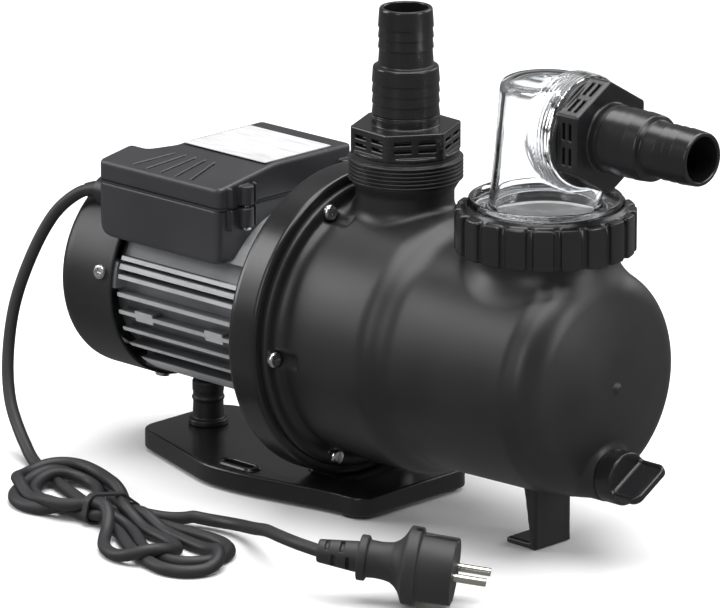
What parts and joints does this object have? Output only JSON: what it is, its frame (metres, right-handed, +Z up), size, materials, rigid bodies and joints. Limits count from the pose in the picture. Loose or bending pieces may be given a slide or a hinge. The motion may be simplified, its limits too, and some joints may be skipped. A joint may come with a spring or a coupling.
{
  "type": "pool pump",
  "caption": "Plastic filter pump with finned motor, volute, strainer pot, clear lid with side suction port, stepped hose tails and a mains cord in a hank.",
  "frame": {"origin": "centre of the bounding box of the pump without its cord, on the floor under the outlet axis", "axes": "+X runs from the motor to the suction side along the pump axis, +Z is up, -Y is the side the cord hank lies on"},
  "size_m": [0.4917, 0.279, 0.301],
  "materials": {
    "satin_black_plastic": "satin moulded black plastic",
    "gloss_black_plastic": "glossy moulded black plastic",
    "box_grey_plastic": "finely grained dark grey plastic",
    "inner_grey_plastic": "plain moulded plastic",
    "white_plastic": "white moulded plastic",
    "clear_plastic": "clear polycarbonate",
    "label_film": "printed film without readable text",
    "fin_aluminium": "die-cast aluminium",
    "bracket_aluminium": "die-cast aluminium",
    "stainless_screw": "stainless steel",
    "shaft_steel": "ground steel",
    "core_steel": "stacked electrical steel",
    "copper_wire": "enamelled copper wire",
    "seal_ceramic": "polished ceramic",
    "seal_metal": "steel and carbon seal head",
    "sealing_rubber": "moulded rubber",
    "cord_rubber": "rubber-sheathed mains cord",
    "nickel_contact": "nickel-plated brass"
  },
  "bodies": {
    "base": {"base_plate": "gloss_black_plastic", "base_pads": "sealing_rubber", "base_screws": "stainless_screw", "motor_post": "satin_black_plastic", "motor_housing": "fin_aluminium", "rear_bracket": "bracket_aluminium", "front_bracket": "bracket_aluminium", "tie_rods": "stainless_screw", "stator_core": "core_steel", "stator_windings": "copper_wire", "bearing_outer_rings": "shaft_steel", "bearing_balls": "shaft_steel", "fan_cover": "satin_black_plastic", "fan_cover_screws": "stainless_screw", "terminal_box": "box_grey_plastic", "box_gasket": "sealing_rubber", "box_lid": "box_grey_plastic", "box_screws": "stainless_screw", "rating_label": "label_film", "run_capacitor": "white_plastic", "terminal_block": "white_plastic", "cable_gland": "satin_black_plastic", "seal_plate": "gloss_black_plastic", "housing_o_ring": "sealing_rubber", "seal_seat": "seal_ceramic", "diffuser": "inner_grey_plastic", "pump_housing": "satin_black_plastic", "housing_screws": "stainless_screw", "discharge_hose_tail": "gloss_black_plastic", "discharge_gasket": "sealing_rubber", "power_cord": "cord_rubber", "cord_hank": "cord_rubber", "cord_tie": "cord_rubber", "plug_lead": "cord_rubber", "plug_body": "cord_rubber", "plug_pins": "nickel_contact", "plug_earth_clips": "nickel_contact"},
    "rotor": {"motor_shaft": "shaft_steel", "rotor_core": "core_steel", "bearing_inner_rings": "shaft_steel", "cooling_fan": "inner_grey_plastic", "seal_head": "seal_metal", "impeller": "inner_grey_plastic", "impeller_nut": "stainless_screw"},
    "cover_seal": {"cover_o_ring": "sealing_rubber"},
    "cover": {"strainer_cover": "clear_plastic", "suction_hose_tail": "gloss_black_plastic", "suction_gasket": "sealing_rubber"},
    "lock_ring": {"lock_ring": "gloss_black_plastic"},
    "basket": {"strainer_basket": "white_plastic"},
    "drain_seal": {"drain_o_ring": "sealing_rubber"},
    "drain_plug": {"drain_plug": "gloss_black_plastic"}
  },
  "joints": [
    {"name": "rotor_spin", "type": "hinge", "parent": "base", "child": "rotor", "pos_m": [0, 0, 0.105], "axis": [1, 0, 0], "continuous": true},
    {"name": "cover_lift", "type": "slide", "parent": "base", "child": "cover_seal", "axis": [0, 0, 1], "range_m": [0, 0.2]},
    {"name": "cover_swivel", "type": "hinge", "parent": "cover_seal", "child": "cover", "pos_m": [0.111, 0, 0.2], "axis": [0, 0, 1], "range_deg": [-135, 135]},
    {"name": "ring_turn", "type": "hinge", "parent": "cover", "child": "lock_ring", "pos_m": [0.111, 0, 0.19], "axis": [0, 0, 1], "range_deg": [0, 450]},
    {"name": "basket_lift", "type": "slide", "parent": "base", "child": "basket", "axis": [0, 0, 1], "range_m": [0, 0.17]},
    {"name": "drain_turn", "type": "hinge", "parent": "drain_seal", "child": "drain_plug", "pos_m": [0.17, 0, 0.053], "axis": [1, 0, 0], "range_deg": [0, 1620]},
    {"name": "drain_out", "type": "slide", "parent": "base", "child": "drain_seal", "axis": [1, 0, 0], "range_m": [0, 0.0081]}
  ],
  "couplings": [
    {"joint": "basket_lift", "follows": "cover_lift", "ratio": 0.85},
    {"joint": "drain_out", "follows": "drain_turn", "m_per_rad": 0.00028648}
  ]
}
